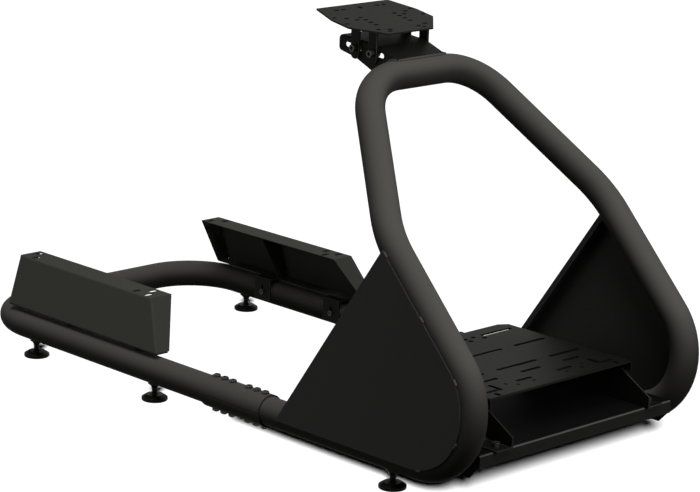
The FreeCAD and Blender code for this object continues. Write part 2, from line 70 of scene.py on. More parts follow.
# A shader value that takes part in Python arithmetic
class Value:
    def __init__(self, graph, socket):
        self.graph = graph
        self.socket = socket

    def maths(self, operation, first, second):
        return self.graph.node("ShaderNodeMath", {"operation": operation}, {0: first, 1: second})

    def __add__(self, other):
        return self.maths("ADD", self, other)

    def __radd__(self, other):
        return self.maths("ADD", other, self)

    def __sub__(self, other):
        return self.maths("SUBTRACT", self, other)

    def __rsub__(self, other):
        return self.maths("SUBTRACT", other, self)

    def __mul__(self, other):
        return self.maths("MULTIPLY", self, other)

    def __rmul__(self, other):
        return self.maths("MULTIPLY", other, self)

    def highest(self, other):
        return self.maths("MAXIMUM", self, other)


# A node tree, with one method that adds any node
class Graph:
    def __init__(self, tree):
        self.tree = tree

    def feed(self, socket, value):
        if isinstance(value, Value):
            self.tree.links.new(value.socket, socket)
        else:
            socket.default_value = value

    def node(self, kind, settings=None, sockets=None, output=0):
        node = self.tree.nodes.new(kind)
        for name, value in (settings or {}).items():
            setattr(node, name, value)
        for name, value in (sockets or {}).items():
            self.feed(node.inputs[name], value)
        return Value(self, node.outputs[output])


# The nodes of one material, with patterns on Object coordinates
class Finish(Graph):
    def __init__(self, name):
        self.material = bpy.data.materials.new(name)
        self.material.use_nodes = True
        super().__init__(self.material.node_tree)
        self.shader = self.tree.nodes["Principled BSDF"]
        self.place = self.node("ShaderNodeTexCoord", output="Object")

    def noise(self, scale, detail, roughness=0.5):
        return self.node("ShaderNodeTexNoise", {},
                         {"Vector": self.place, "Scale": scale, "Detail": detail, "Roughness": roughness})

    def upward(self):
        surface = self.node("ShaderNodeTexCoord", output="Normal")
        return self.node("ShaderNodeSeparateXYZ", {}, {"Vector": surface}, output="Z")

    def between(self, factor, low, high):
        return self.node("ShaderNodeMapRange", {"interpolation_type": "SMOOTHSTEP"},
                         {"Value": factor, "From Min": low, "From Max": high})

    def blend(self, factor, first, second):
        return self.node("ShaderNodeMix", {"data_type": "RGBA"},
                         {"Factor": factor, 6: first, 7: second}, output=2)

    def bump(self, height, strength, depth):
        return self.node("ShaderNodeBump", {},
                         {"Height": height, "Strength": strength, "Distance": depth})

    def dress(self, **sockets):
        for name, value in sockets.items():
            self.feed(self.shader.inputs[name.replace("_", " ")], value)
        return self.material


def tint(red, green, blue):
    return (red, green, blue, 1.0)


speck_tint = tint(0.11, 0.105, 0.095)
worn_steel = tint(0.16, 0.155, 0.145)
scuff_tint = tint(0.020, 0.019, 0.018)


# Coat with clouds, a fine mottle, specks and orange peel; painted_top_light is a paler colour painted on its
# upward faces as painted top light, leaving the undersides darker as painted shade
def powder_coat(name, dark, pale, roughness, gloss, grain=0.12, painted_top_light=None):
    finish = Finish(name)
    cloud = finish.noise(scale=5.0, detail=3.0)
    mottle = finish.noise(scale=160.0, detail=2.0)
    peel = finish.noise(scale=620.0, detail=2.0, roughness=0.6)
    specks = finish.between(finish.noise(scale=38.0, detail=5.0, roughness=0.7), low=0.62, high=0.80)
    colour = finish.blend(cloud * 0.6 + mottle * 0.4, dark, pale)
    # Painted light: upward faces blend towards a paler colour and undersides stay darker
    if painted_top_light:
        top_light_share = finish.between(finish.upward(), low=-0.25, high=0.75)
        colour = finish.blend(top_light_share, colour, painted_top_light)
    colour = finish.blend(specks * 0.18, colour, speck_tint)
    rough = roughness + (cloud - 0.5) * 0.10 + (mottle - 0.5) * 0.08 + specks * 0.06
    skin = finish.bump(peel + mottle * 0.6, strength=grain, depth=0.25 * mm)
    return finish.dress(Base_Color=colour, Roughness=rough, Specular_IOR_Level=gloss, Normal=skin)


# Blackened steel with bright flecks
def black_oxide(name, dark, pale, metal, gloss):
    finish = Finish(name)
    cloud = finish.noise(scale=60.0, detail=3.0)
    fleck = finish.between(finish.noise(scale=900.0, detail=2.0), low=0.60, high=0.74)
    colour = finish.blend(cloud, dark, pale)
    colour = finish.blend(fleck * 0.35, colour, worn_steel)
    rough = 0.36 + (cloud - 0.5) * 0.16 + fleck * 0.10
    skin = finish.bump(finish.noise(scale=1500.0, detail=1.0), strength=0.08, depth=0.1 * mm)
    return finish.dress(Base_Color=colour, Metallic=metal, Roughness=rough, Specular_IOR_Level=gloss,
                        Normal=skin)


# Black rubber with a fine grain and pale scuffs
def moulded_rubber(name, dark, pale):
    finish = Finish(name)
    cloud = finish.noise(scale=45.0, detail=3.0)
    grain = finish.noise(scale=1100.0, detail=2.0)
    scuff = finish.between(finish.noise(scale=90.0, detail=4.0, roughness=0.7), low=0.58, high=0.76)
    colour = finish.blend(cloud, dark, pale)
    colour = finish.blend(scuff * 0.4, colour, scuff_tint)
    rough = 0.40 + scuff * 0.14 + (grain - 0.5) * 0.10
    skin = finish.bump(grain, strength=0.18, depth=0.2 * mm)
    return finish.dress(Base_Color=colour, Roughness=rough, Specular_IOR_Level=0.05, Normal=skin)


# The tube coat is paler on its upward faces as painted top light and darker underneath as painted shade
tube_coat = powder_coat("tube_powder_coat", tint(0.040, 0.039, 0.036), tint(0.050, 0.049, 0.045),
                        roughness=0.46, gloss=0.001, painted_top_light=tint(0.104, 0.101, 0.093))
panel_coat = powder_coat("panel_powder_coat", tint(0.031, 0.031, 0.030), tint(0.038, 0.038, 0.037),
                         roughness=0.56, gloss=0.036)
bracket_coat = powder_coat("bracket_powder_coat", tint(0.073, 0.073, 0.065), tint(0.084, 0.084, 0.075),
                           roughness=0.54, gloss=0.001)
tray_coat = powder_coat("tray_powder_coat", tint(0.004, 0.004, 0.004), tint(0.007, 0.007, 0.006),
                        roughness=0.50, gloss=0.034)
deck_coat = powder_coat("deck_powder_coat", tint(0.016, 0.016, 0.013), tint(0.022, 0.022, 0.018),
                        roughness=0.50, gloss=0.020)
base_coat = powder_coat("base_powder_coat", tint(0.003, 0.003, 0.003), tint(0.005, 0.005, 0.005),
                        roughness=0.50, gloss=0.010)
# The lip is the base coat made paler, as painted light on the side that faces the lamps
lip_lit_copy_coat = powder_coat("lip_powder_coat", tint(0.011, 0.011, 0.010), tint(0.014, 0.014, 0.013),
                       roughness=0.50, gloss=0.024)
# Paler coat on broken edges: worn coat in part, and a painted highlight that makes the edges read as lit
edge_wear_and_highlight_coat = powder_coat("edge_powder_coat", tint(0.075, 0.074, 0.067), tint(0.100, 0.098, 0.088),
                        roughness=0.42, gloss=0.010, grain=0.06)
# Weld beads and tacks coated paler than the tubes as a painted highlight
weld_highlight_coat = powder_coat("weld_powder_coat", tint(0.080, 0.078, 0.071), tint(0.100, 0.098, 0.090),
                        roughness=0.40, gloss=0.010, grain=0.10)
screw_black = black_oxide("screw_black_oxide", tint(0.018, 0.018, 0.018), tint(0.040, 0.039, 0.037),
                          metal=0.55, gloss=0.2)
stem_black = black_oxide("stem_black_oxide", tint(0.004, 0.004, 0.004), tint(0.010, 0.010, 0.009),
                         metal=0.02, gloss=0.06)
pad_rubber = moulded_rubber("pad_moulded_rubber", tint(0.003, 0.003, 0.003), tint(0.006, 0.006, 0.005))


# Modelling helpers. A face looks in a direction where its normal is nearer to it than facing says.
merge_distance = 0.002 * mm
facing = 0.9


def begin(name, add, **sizes):
    bpy.ops.object.select_all(action="DESELECT")
    add(**sizes)
    piece = bpy.context.object
    piece.name = name
    piece.data.name = name
    bpy.ops.object.mode_set(mode="EDIT")
    bpy.ops.mesh.select_mode(type="VERT")
    bpy.ops.mesh.select_all(action="SELECT")
    return piece


def leave():
    bpy.ops.object.mode_set(mode="OBJECT")


def select_only(piece):
    bpy.ops.object.select_all(action="DESELECT")
    piece.select_set(True)
    bpy.context.view_layer.objects.active = piece


def pick(piece, kind, test):
    bpy.ops.mesh.select_mode(type=kind)
    bpy.ops.mesh.select_all(action="DESELECT")
    mesh = bmesh.from_edit_mesh(piece.data)
    for part in {"VERT": mesh.verts, "EDGE": mesh.edges, "FACE": mesh.faces}[kind]:
        part.select_set(test(part))
    mesh.select_flush_mode()
    bmesh.update_edit_mesh(piece.data)


def pull_faces(step):
    bpy.ops.mesh.extrude_region_move(TRANSFORM_OT_translate={"value": step})


def close_shell():
    bpy.ops.mesh.select_all(action="SELECT")
    bpy.ops.mesh.remove_doubles(threshold=merge_distance)
    bpy.ops.mesh.normals_make_consistent(inside=False)


def smooth(piece, crease):
    select_only(piece)
    bpy.ops.object.shade_smooth_by_angle(angle=math.radians(crease))


def paint(piece, *materials):
    piece.data.materials.clear()
    for material in materials:
        piece.data.materials.append(material)


# Points of a profile are (radius, height) in millimetres
def arc(centre_radius, centre_height, radius, start, end, steps):
    points = []
    for step in range(steps + 1):
        angle = math.radians(start + (end - start) * step / steps)
        points.append((centre_radius + radius * math.cos(angle), centre_height + radius * math.sin(angle)))
    return points


# A profile spun about Z, still open in edit mode
def turned(name, profile, rounds):
    piece = begin(name, bpy.ops.mesh.primitive_plane_add, size=mm)
    bpy.ops.mesh.merge(type="CENTER")
    bpy.ops.transform.translate(value=(profile[0][0] * mm, 0, profile[0][1] * mm))
    for before, after in zip(profile, profile[1:]):
        step = ((after[0] - before[0]) * mm, 0, (after[1] - before[1]) * mm)
        bpy.ops.mesh.extrude_vertices_move(TRANSFORM_OT_translate={"value": step})
    bpy.ops.mesh.select_all(action="SELECT")
    bpy.ops.mesh.spin(steps=rounds, angle=2 * math.pi, center=(0, 0, 0), axis=(0, 0, 1))
    close_shell()
    return piece


def turned_model(name, material, profile, rounds, crease):
    model = turned(name, profile, rounds)
    leave()
    smooth(model, crease)
    paint(model, material)
    return model


def copies(name, model, places):
    bpy.ops.object.select_all(action="DESELECT")
    for place in places:
        mesh = model.data.copy()
        mesh.transform(place)
        copy = bpy.data.objects.new(name, mesh)
        bpy.context.collection.objects.link(copy)
        copy.select_set(True)
        bpy.context.view_layer.objects.active = copy
    if len(places) > 1:
        bpy.ops.object.join()
    piece = bpy.context.object
    piece.name = name
    piece.data.name = name
    return piece


def discard(*models):
    for model in models:
        bpy.data.objects.remove(model)


def settle(piece, body, slot, *replaced):
    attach(piece, body)
    if replaced:
        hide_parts(*replaced)


def towards(direction, place):
    turn = Vector((0, 0, 1)).rotation_difference(Vector(direction)).to_matrix().to_4x4()
    return Matrix.Translation(Vector(place)) @ turn


# Sheet and sleeves: the CAD shape with its cut edges broken and their coat paler, partly as worn coat and
# mostly as a painted highlight along the edges.
# A patch is a coat and a test of the faces that it covers.
sheet_edge = 0.7 * mm
sheet_merge = 0.01 * mm
flat_angle = math.radians(0.5)
cut_angle = math.radians(38)
edge_index = 1


def broken_edges(node, body, slot, material, reshape=None, patches=()):
    piece = bpy.data.objects.new(node + "_coated", nodes[node].data.copy())
    bpy.context.collection.objects.link(piece)
    select_only(piece)
    bpy.ops.mesh.customdata_custom_splitnormals_clear()
    bpy.ops.object.mode_set(mode="EDIT")
    bpy.ops.mesh.select_all(action="SELECT")
    bpy.ops.mesh.remove_doubles(threshold=sheet_merge)
    bpy.ops.mesh.dissolve_limited(angle_limit=flat_angle)
    if reshape:
        reshape(piece)
    leave()
    bpy.ops.object.shade_smooth()
    paint(piece, material, edge_wear_and_highlight_coat, *(coat for coat, covers in patches))
    bevel = piece.modifiers.new("soft_edges", "BEVEL")
    bevel.width = sheet_edge
    bevel.segments = 2
    bevel.limit_method = "ANGLE"
    bevel.angle_limit = cut_angle
    bevel.material = edge_index
    bpy.ops.object.modifier_apply(modifier=bevel.name)
    for index, (coat, covers) in enumerate(patches, start=edge_index + 1):
        for face in piece.data.polygons:
            if covers(face):
                face.material_index = index
    weight = piece.modifiers.new("flat_faces", "WEIGHTED_NORMAL")
    weight.weight = 100
    bpy.ops.object.modifier_apply(modifier=weight.name)
    settle(piece, body, slot, node)


# Side panel: its tip runs on up the leg, and its rear fold gets a deeper return with a narrow flange
panel_foot = Vector((196.0, 0, 55.0)) * mm
panel_apex = Vector((471.8, 0, 360.1)) * mm
leg_direction = Vector((-0.6947, 0, 0.7193))
panel_rise = 51.0 * mm
panel_foot_shift = Vector((5.0, 0, 0)) * mm
fold_width = 4.0 * mm
return_edge = 268.0 * mm
return_tolerance = 0.5 * mm
return_step = 8.0 * mm
panel_sheet = 3.0 * mm
flange_reach = 7.0 * mm


def finished_panel(panel):
    rear_edge = panel_apex - panel_foot
    along = rear_edge.normalized()
    mesh = bmesh.from_edit_mesh(panel.data)
    for vertex in mesh.verts:
        reach = Vector((vertex.co.x, 0, vertex.co.z)) - panel_foot
        share = reach.dot(along) / rear_edge.length
        if (reach - along * reach.dot(along)).length < fold_width:
            vertex.co += panel_foot_shift * (1 - share) + leg_direction * panel_rise * share
    bmesh.update_edit_mesh(panel.data)
    inward = -1 if panel.data.vertices[0].co.y > 0 else 1
    moved_edge = panel_apex + leg_direction * panel_rise - panel_foot - panel_foot_shift
    ahead = Vector((moved_edge.z, 0, -moved_edge.x)).normalized()

    def on_return_edge(face):
        spread = abs(face.calc_center_median().y)
        return face.normal.y * inward > facing and abs(spread - return_edge) < return_tolerance

    def on_flange_root(face):
        spread = abs(face.calc_center_median().y)
        return face.normal.dot(ahead) > facing and spread < return_edge - return_step

    pick(panel, "FACE", on_return_edge)
    pull_faces((0, inward * return_step, 0))
    pull_faces((0, inward * panel_sheet, 0))
    pick(panel, "FACE", on_flange_root)
    pull_faces(ahead * flange_reach)


for side in sides:
    broken_edges("side_panel_" + side, "frame", "sheet_coat", panel_coat, reshape=finished_panel)
    broken_edges("seat_bracket_" + side, "frame", "sheet_coat", bracket_coat)
    broken_edges("tray_gusset_" + side, "frame", "sheet_coat", tray_coat)
    for number in ("_1", "_2"):
        broken_edges("saddle_" + side + number, "frame", "sheet_coat", tray_coat)
        broken_edges("deck_strap_" + side + number, "wheel_deck", "sheet_coat", tray_coat)
    for half in ("upper_", "lower_"):
        broken_edges("splice_sleeve_" + half + side, "frame", "tube_coat", tube_coat)
broken_edges("pedal_plate", "frame", "sheet_coat", tray_coat)

# Base pan: its front lip a paler copy of the coat as painted light, with a painted highlight line along its
# fold
base_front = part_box("tray_base")[1][0]
lip_depth = 8.0 * mm
lip_facing = 0.2
fold_facing = 0.35


def on_lip(face):
    return face.center.x > base_front - lip_depth and face.normal.x > lip_facing


def on_front_fold(face):
    return on_lip(face) and min(face.normal.x, face.normal.z) > fold_facing


broken_edges("tray_base", "frame", "sheet_coat", base_coat,
             patches=[(lip_lit_copy_coat, on_lip), (edge_wear_and_highlight_coat, on_front_fold)])
broken_edges("wheel_bracket", "frame", "sheet_coat", tray_coat)
broken_edges("wheel_deck", "wheel_deck", "sheet_coat", deck_coat)

# Tubes keep their CAD shape
for name in ("rear_frame", "side_tube_left", "side_tube_right", "top_hoop"):
    paint(nodes[name], tube_coat)


# Fasteners, each modelled once about its own axis with the seat of the head at zero, in millimetres
thread_pitch = 1.25
thread_turns = 5
thread_radius = 4.0
thread_root = 3.4
crest_share = 0.2
flank_share = 0.55
root_share = 0.7
point_length = 0.6
head_radius = 6.5
head_height = 8.0
head_round = 0.9
head_depth = 4.0
knurl_low = 0.6
knurl_high = 6.8
knurl_share = 0.965
button_radius = 6.75
button_height = 4.6
button_round = 3.0
button_depth = 2.4
foot_break = 0.3
socket_width = 6.0
socket_rim = 3.75
socket_floor_inset = 0.25
socket_floor_drop = 0.12
cap_rim_drop = 0.25
button_rim_drop = 0.2
nut_width = 13.0
nut_chamfer = 0.7 * mm
nut_corner = 0.8 * mm
nut_face_share = 0.9
screw_rounds = 48
screw_crease = 34
socket_turn = math.radians(37.0)


def thread(top, turns, pitch, radius, root):
    points = []
    for turn in range(turns):
        level = top - turn * pitch
        points += [(radius, level), (radius, level - crest_share * pitch)]
        points += [(root, level - flank_share * pitch), (root, level - root_share * pitch)]
    return points


def shank(length):
    end = -length
    start = end + thread_turns * thread_pitch + point_length
    return ([(thread_radius, 0.0)] + thread(start, thread_turns, thread_pitch, thread_radius, thread_root)
            + [(thread_radius, end + point_length), (thread_root, end), (0.0, end)])


def knurl(screw):
    def on_flute(vertex):
        column = round(math.atan2(vertex.co.y, vertex.co.x) / (2 * math.pi) * screw_rounds)
        outside = vertex.co.xy.length > 0.9 * head_radius * mm
        return outside and knurl_low * mm < vertex.co.z < knurl_high * mm and column % 2 == 0

    pick(screw, "VERT", on_flute)
    bpy.ops.transform.resize(value=(knurl_share, knurl_share, 1.0), center_override=(0, 0, 0))


def hex_socket(screw, rim_height, depth):
    level = rim_height * mm
    width = socket_width * mm
    corner = width / math.sqrt(3)
    near = 0.01 * mm
    rim_reach = (socket_rim + 0.05) * mm
    bpy.ops.mesh.primitive_circle_add(vertices=6, radius=corner, location=(0, 0, level))

    def on_rim(edge):
        if not edge.is_boundary and not edge.is_wire:
            return False
        return all(abs(vertex.co.z - level) < near and vertex.co.xy.length < rim_reach
                   for vertex in edge.verts)

    def on_hexagon(edge):
        return all(abs(vertex.co.z - level) < near and abs(vertex.co.xy.length - corner) < near
                   for vertex in edge.verts)

    pick(screw, "EDGE", on_rim)
    bpy.ops.mesh.bridge_edge_loops()
    pick(screw, "EDGE", on_hexagon)
    bpy.ops.mesh.extrude_edges_move(TRANSFORM_OT_translate={"value": (0, 0, -depth * mm)})
    bpy.ops.mesh.edge_face_add()
    bpy.ops.mesh.inset(thickness=socket_floor_inset * width)
    bpy.ops.transform.translate(value=(0, 0, -socket_floor_drop * width))
    close_shell()


def cap_screw(name, length):
    rim = [(socket_rim, head_height - cap_rim_drop), (socket_rim + 0.3, head_height)]
    wall = arc(head_radius - head_round, head_height - head_round, head_round, 90, 0, 4)
    wall += [(head_radius, 6.5), (head_radius, 0.9)]
    foot = [(head_radius, foot_break), (head_radius - foot_break, 0.0)]
    screw = turned(name, rim + wall + foot + shank(length), screw_rounds)
    knurl(screw)
    hex_socket(screw, head_height - cap_rim_drop, head_depth)
    leave()
    return screw


def button_screw(name, length):
    rim = [(socket_rim, button_height - button_rim_drop), (socket_rim + 0.25, button_height)]
    dome = arc(socket_rim, button_height - button_round, button_round, 84, 0, 8)
    foot = [(button_radius, 0.35), (button_radius - foot_break, 0.0)]
    screw = turned(name, rim + dome + foot + shank(length), screw_rounds)
    hex_socket(screw, button_height - button_rim_drop, button_depth)
    leave()
    return screw


def hex_nut(name, top, height):
    nut = begin(name, bpy.ops.mesh.primitive_cylinder_add, vertices=6, radius=nut_width / math.sqrt(3) * mm,
                depth=height * mm - 2 * nut_chamfer, location=(0, 0, (top - height / 2) * mm))
    pick(nut, "EDGE", lambda edge: abs(edge.verts[0].co.z - edge.verts[1].co.z) > nut_chamfer)
    bpy.ops.mesh.bevel(offset=nut_corner, segments=3, affect="EDGES")
    for direction in (-1, 1):
        pick(nut, "FACE", lambda face: face.normal.z * direction > facing)
        pull_faces((0, 0, direction * nut_chamfer))
        bpy.ops.transform.resize(value=(nut_face_share, nut_face_share, 1.0), center_override=(0, 0, 0))
    close_shell()
    leave()
    return nut


def screw_model(name, *models):
    select_only(models[0])
    for model in models[1:]:
        model.select_set(True)
    if len(models) > 1:
        bpy.ops.object.join()
    piece = bpy.context.object
    piece.name = name
    smooth(piece, screw_crease)
    paint(piece, screw_black)
    return piece


# Each screw in a row has its socket turned further
def spun(count, direction, place):
    return towards(direction, place) @ Matrix.Rotation(count * socket_turn, 4, "Z")


# Splice: six button screws with low nuts on each side
splice_grip = 56.3
splice_nut = 5.0
splice_end = 1.5
splice_top = 83.15 * mm
splice_middle = 85.0
splice_first = 20.2
splice_pitch = 20.6
rail_y = 260.0 * mm
splice_model = screw_model("splice_bolt_model",
                           button_screw("splice_screw_model", splice_grip + splice_nut + splice_end),
                           hex_nut("splice_nut_model", -splice_grip, splice_nut))
splice_stations = []
for count in range(3):
    reach = splice_first + count * splice_pitch
    splice_stations += [(splice_middle - reach) * mm, (splice_middle + reach) * mm]
for side, sign in sides.items():
    places = [spun(count, (0, 0, 1), (station, sign * rail_y, splice_top))
              for count, station in enumerate(splice_stations)]
    settle(copies("splice_screws_" + side, splice_model, places), "frame", "black_fastener",
           "splice_bolts_" + side)

# Saddles: one small button screw each, at the foot of its slot
saddle_face = 231.0 * mm
saddle_screw_length = 20.0
saddle_screw_height = 58.3 * mm
saddle_screw_scale = Matrix.Scale(10.5 / 13.5, 4)
saddle_stations = {"_1": -399.0, "_2": -207.0}
saddle_model = screw_model("saddle_screw_model", button_screw("saddle_button_model", saddle_screw_length))
for side, sign in sides.items():
    for count, (number, station) in enumerate(saddle_stations.items()):
        place = spun(count, (0, -sign, 0), (station * mm, sign * saddle_face, saddle_screw_height))
        settle(copies("saddle_screws_" + side + number, saddle_model, [place @ saddle_screw_scale]), "frame",
               "black_fastener", "saddle_bolts_" + side + number)

# Tray feet: two cap screws each, nuts under the base
tray_grip = 6.0
cap_nut = 6.5
cap_end = 2.0
tray_foot_stations = (607.0, 579.0)
tray_foot_y = 187.0 * mm
tray_foot_top = 95.0 * mm
tray_model = screw_model("tray_bolt_model", cap_screw("tray_screw_model", tray_grip + cap_nut + cap_end),
                         hex_nut("tray_nut_model", -tray_grip, cap_nut))
for side, sign in sides.items():
    places = [spun(count, (0, 0, 1), (station * mm, sign * tray_foot_y, tray_foot_top))
              for count, station in enumerate(tray_foot_stations)]
    settle(copies("tray_screws_" + side, tray_model, places), "frame", "black_fastener",
           "tray_bolts_" + side)

# Wheel deck: two cap screws a side, nuts inside the bracket
deck_grip = 8.1
deck_seat = 62.8 * mm
deck_screw_places = ((131.21, 650.5), (173.21, 646.9))
deck_model = screw_model("deck_bolt_model", cap_screw("deck_screw_model", deck_grip + cap_nut + cap_end),
                         hex_nut("deck_nut_model", -deck_grip, cap_nut))
for side, sign in sides.items():
    places = [spun(count, (0, sign, 0), (station * mm, sign * deck_seat, height * mm))
              for count, (station, height) in enumerate(deck_screw_places)]
    settle(copies("deck_screws_" + side, deck_model, places), "wheel_deck", "black_fastener",
           "deck_bolts_" + side)
discard(splice_model, saddle_model, tray_model, deck_model)


# Levelling feet: rubber pad with a grooved rim, threaded stem and trumpet boss
pad_radius = 23.0
pad_top = 11.0
rim_round = 1.8
groove_depth = 0.7
shoulder_round = 1.4
shoulder_height = 5.2
shoulder_slope = 58
crown_radius = 14.6
crown_round = 1.8
stem_start = 10.6
stem_radius = 5.0
stem_root = 4.3
stem_pitch = 1.5
stem_turns = 6
boss_radius = 12.0
boss_start = 20.6
boss_end = 30.0
boss_ledge = 0.6
boss_seat = 4.4
flare_steps = 10
flare_power = 2.2
foot_stations = {"_1": -476.0, "_2": -140.0, "_3": 453.0}


def pad_profile():
    rim = [(0.0, 0.0)] + arc(pad_radius - rim_round, rim_round, rim_round, -90, 0, 5)
    groove_floor = pad_radius - groove_depth
    groove = [(pad_radius, 3.4), (groove_floor, 3.8), (groove_floor, 4.3), (pad_radius, 4.7)]
    shoulder = arc(pad_radius - shoulder_round, shoulder_height, shoulder_round, 0, shoulder_slope, 5)
    crown = arc(crown_radius, pad_top - crown_round, crown_round, shoulder_slope, 90, 4)
    collar = [(8.4, pad_top), (7.9, 11.9), (6.3, 11.9), (5.6, pad_top), (0.0, pad_top)]
    return rim + groove + shoulder + crown + collar


def stem_profile():
    neck = [(0.0, stem_start), (stem_radius, stem_start)]
    grooves = thread(boss_start - 0.2, stem_turns, stem_pitch, stem_radius, stem_root)
    root = stem_radius + boss_ledge
    flare = []
    for step in range(flare_steps + 1):
        share = step / flare_steps
        flare.append((root + (boss_radius - root) * share ** flare_power,
                      boss_start + (boss_end - boss_start) * share))
    top = [(boss_radius, boss_end + boss_seat), (0.0, boss_end + boss_seat)]
    return neck + grooves[::-1] + flare + top


pad_model = turned_model("foot_pad_model", pad_rubber, pad_profile(), 64, screw_crease)
stem_model = turned_model("foot_stem_model", stem_black, stem_profile(), 48, screw_crease)
for number, station in foot_stations.items():
    for side, sign in sides.items():
        places = [Matrix.Translation((station * mm, sign * rail_y, 0))]
        settle(copies("rubber_pad_" + side + number, pad_model, places), "frame", "pad_rubber",
               "foot_pad_" + side + number)
        settle(copies("threaded_stem_" + side + number, stem_model, places), "frame", "black_fastener",
               "foot_stem_" + side + number)
discard(pad_model, stem_model)


# Weld stitches: short rippled beads that hold each panel, three round the bend and two up the leg
weld_rounds = 16
weld_crease = 60
stitch_length = 12.0
stitch_radius = 2.2
stitch_ripples = 5
stitch_ripple = 0.13
stitch_tip = 0.35
stitch_proud = 0.9 * mm
bend_centre = Vector((512.0, 0, 163.0)) * mm
bend_radius = 108.0 * mm
bend_stitches = (31.0, -25.0, -78.0)
leg_stitches = (9.0 * mm - panel_rise, 80.0 * mm)
panel_edge = 286.4 * mm


def stitch_profile(length, radius, ripples):
    points = [(0.0, -length / 2)]
    for step in range(2 * ripples + 1):
        share = step / (2 * ripples)
        fullness = 1.0 - (1.0 - stitch_tip) * (2 * share - 1) ** 6
        ripple = 1.0 - stitch_ripple * (step % 2)
        points.append((radius * fullness * ripple, length * (share - 0.5)))
    return points + [(0.0, length / 2)]


panel_stitch = stitch_profile(stitch_length, stitch_radius, stitch_ripples)
stitch_model = turned_model("stitch_model", weld_highlight_coat, panel_stitch, weld_rounds, weld_crease)
for side, sign in sides.items():
    across_panel = Vector((0, sign * panel_edge, 0))
    places = []
    for degrees in bend_stitches:
        turn = math.radians(degrees)
        outward = Vector((math.cos(turn), 0, math.sin(turn)))
        tangent = Vector((-math.sin(turn), 0, math.cos(turn)))
        places.append(towards(tangent, bend_centre + outward * (bend_radius + stitch_proud) + across_panel))
    outward = Vector((leg_direction.z, 0, -leg_direction.x))
    for drop in leg_stitches:
        edge_point = panel_apex - leg_direction * drop
        places.append(towards(leg_direction, edge_point + outward * stitch_proud + across_panel))
    settle(copies("panel_stitches_" + side, stitch_model, places), "frame", "tube_coat")

# The same stitch on both upright edges of each saddle
saddle_half_width = 22.0
saddle_stitch_y = 235.5
saddle_stitch_height = 65.0
for side, sign in sides.items():
    places = []
    for station in saddle_stations.values():
        for edge in (-saddle_half_width, saddle_half_width):
            spot = Vector((station + edge, sign * saddle_stitch_y, saddle_stitch_height)) * mm
            places.append(Matrix.Translation(spot))
    settle(copies("saddle_stitches_" + side, stitch_model, places), "frame", "tube_coat")
discard(stitch_model)

# Wheel bracket: a bead round the crossbar at each of its sides, and a straight one along its front
crossbar_place = Vector((223.71, 0, 617.0)) * mm
crossbar_radius = 25.0 * mm
bead_radius = 2.1 * mm
bead_lift = 0.4 * bead_radius
bead_ripple = 0.16 * bead_radius
bead_start = math.radians(84.0)
bead_sweep = math.radians(124.0)
bead_steps = 40
bead_corners = 12
bead_side = 59.2 * mm
front_bead_length = 114.0
front_bead_radius = 2.5
front_bead_ripples = 40
front_bead_place = Vector((227.6, 0, 642.6)) * mm


def bracket_bead(name):
    bead = begin(name, bpy.ops.mesh.primitive_circle_add, vertices=bead_corners, radius=bead_radius)
    bpy.ops.transform.translate(value=(crossbar_radius + bead_lift, 0, 0))
    bpy.ops.mesh.spin(steps=bead_steps, angle=bead_sweep, center=(0, 0, 0), axis=(0, 1, 0))

    def on_ripple(vertex):
        return round(math.atan2(vertex.co.z, vertex.co.x) / bead_sweep * bead_steps) % 2 == 0

    pick(bead, "VERT", on_ripple)
    bpy.ops.transform.shrink_fatten(value=-bead_ripple)
    bpy.ops.mesh.select_all(action="SELECT")
    bpy.ops.mesh.fill_holes(sides=0)
    close_shell()
    leave()
    smooth(bead, weld_crease)
    paint(bead, weld_highlight_coat)
    return bead


bead_model = bracket_bead("bracket_bead_model")
bead_turn = Matrix.Rotation(-bead_start, 4, "Y")
places = [Matrix.Translation(crossbar_place + Vector((0, sign * bead_side, 0))) @ bead_turn
          for sign in sides.values()]
settle(copies("bracket_beads", bead_model, places), "frame", "tube_coat")
front_bead_profile = stitch_profile(front_bead_length, front_bead_radius, front_bead_ripples)
front_bead_model = turned_model("front_bead_model", weld_highlight_coat, front_bead_profile, weld_rounds, weld_crease)
settle(copies("bracket_front_bead", front_bead_model, [towards((0, 1, 0), front_bead_place)]), "frame",
       "tube_coat")
discard(bead_model, front_bead_model)

# Tack welds inside the seat brackets: in the corners by the end and the rib, and on the lower fold
tack_rounds = 20
tack_profile = [(0.0, -1.0), (2.6, -1.0), (2.6, 0.0), (2.3, 0.7), (1.5, 1.3), (0.0, 1.5)]
corner_tacks = ((-541.5, 255.0, 138.0), (-541.5, 266.6, 101.0), (-368.6, 267.0, 99.0))
lower_tacks = ((-532.0, 264.0, 88.0), (-366.0, 264.0, 88.0))
tack_model = turned_model("tack_model", weld_highlight_coat, tack_profile, tack_rounds, weld_crease)
for side, sign in sides.items():
    places = []
    for direction, tacks in (((0.25, -0.95 * sign, -0.2), corner_tacks), ((0, 0, 1), lower_tacks)):
        places += [towards(direction, Vector((x, sign * y, z)) * mm) for x, y, z in tacks]
    settle(copies("bracket_tacks_" + side, tack_model, places), "frame", "sheet_coat")
discard(tack_model)


# Camera at the photograph's viewing angle
camera_target = Vector((0.0732, 0.0, 0.2836))
camera_azimuth = math.radians(44.649)
camera_elevation = math.radians(14.427)
camera_roll = math.radians(2.006)
camera_distance = 4.8246
camera_lens = 142.0
camera_sensor = 36.0

